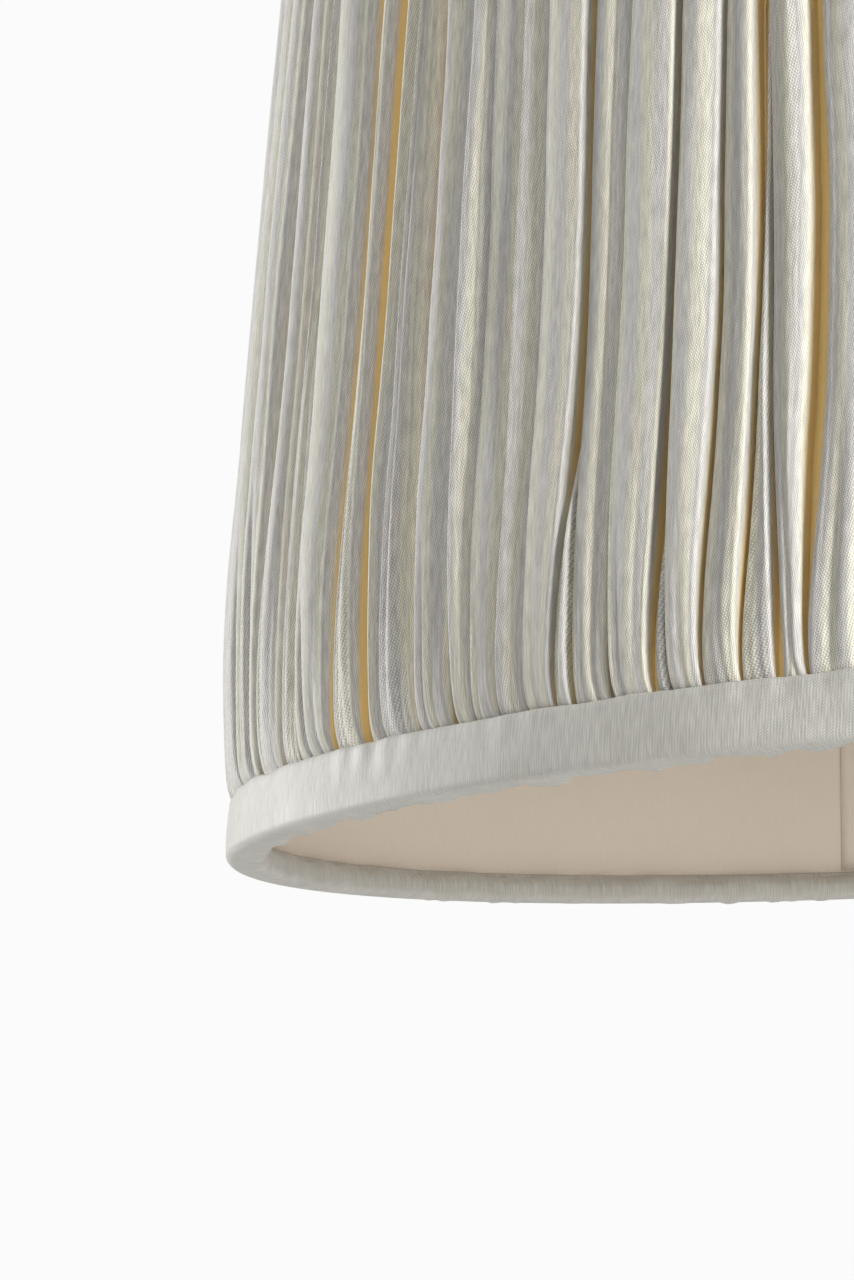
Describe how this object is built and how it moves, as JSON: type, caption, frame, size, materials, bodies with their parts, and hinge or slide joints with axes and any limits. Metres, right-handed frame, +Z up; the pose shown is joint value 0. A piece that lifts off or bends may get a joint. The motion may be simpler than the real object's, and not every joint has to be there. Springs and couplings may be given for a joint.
{
  "type": "gathered lamp shade",
  "caption": "Tapered hard-lined lamp shade with a gathered striped cloth cover, bound rims, wire rings and a dropped spider with a tilting gimbal ring.",
  "frame": {"origin": "centre of the bottom rim, on the plane that the shade stands on", "axes": "+Z up along the shade's axis, from the wide rim to the narrow one; +X along the gimbal's pivot axis"},
  "size_m": [0.3495, 0.3496, 0.23],
  "materials": {
    "cover_cloth": "striped sateen, soft sheen",
    "binding_cloth": "plain woven, matt",
    "lining_cloth": "smooth laminated cloth, matt",
    "thread": "polyester thread",
    "backing_film": "matt polystyrene sheet",
    "frame_coat": "satin powder coat",
    "plated_steel": "bright zinc plate",
    "reducer_plastic": "moulded, satin"
  },
  "bodies": {
    "shade": {"bottom_ring": "frame_coat", "top_ring": "frame_coat", "spider_arm_1": "frame_coat", "spider_arm_2": "frame_coat", "spider_arm_3": "frame_coat", "hub_ring": "frame_coat", "pivot_rivet_left": "plated_steel", "pivot_rivet_right": "plated_steel", "spring_washer_left": "plated_steel", "spring_washer_right": "plated_steel", "backing_sheet": "backing_film", "lining_fabric": "lining_cloth", "cover_panel_back_right": "cover_cloth", "cover_panel_back_left": "cover_cloth", "cover_panel_front_left": "cover_cloth", "cover_panel_front_right": "cover_cloth", "gathering_thread_bottom": "thread", "gathering_thread_top": "thread", "bottom_binding": "binding_cloth", "top_binding": "binding_cloth"},
    "gimbal": {"gimbal_ring": "plated_steel"},
    "reducer": {"reducer_ring": "reducer_plastic"}
  },
  "joints": [
    {"name": "gimbal_tilt", "type": "hinge", "parent": "shade", "child": "gimbal", "pos_m": [0, 0, 0.2], "axis": [1, 0, 0], "range_deg": [-30, 30]},
    {"name": "reducer_lift", "type": "slide", "parent": "gimbal", "child": "reducer", "axis": [0, 0, 1], "range_m": [0, 0.015]}
  ]
}
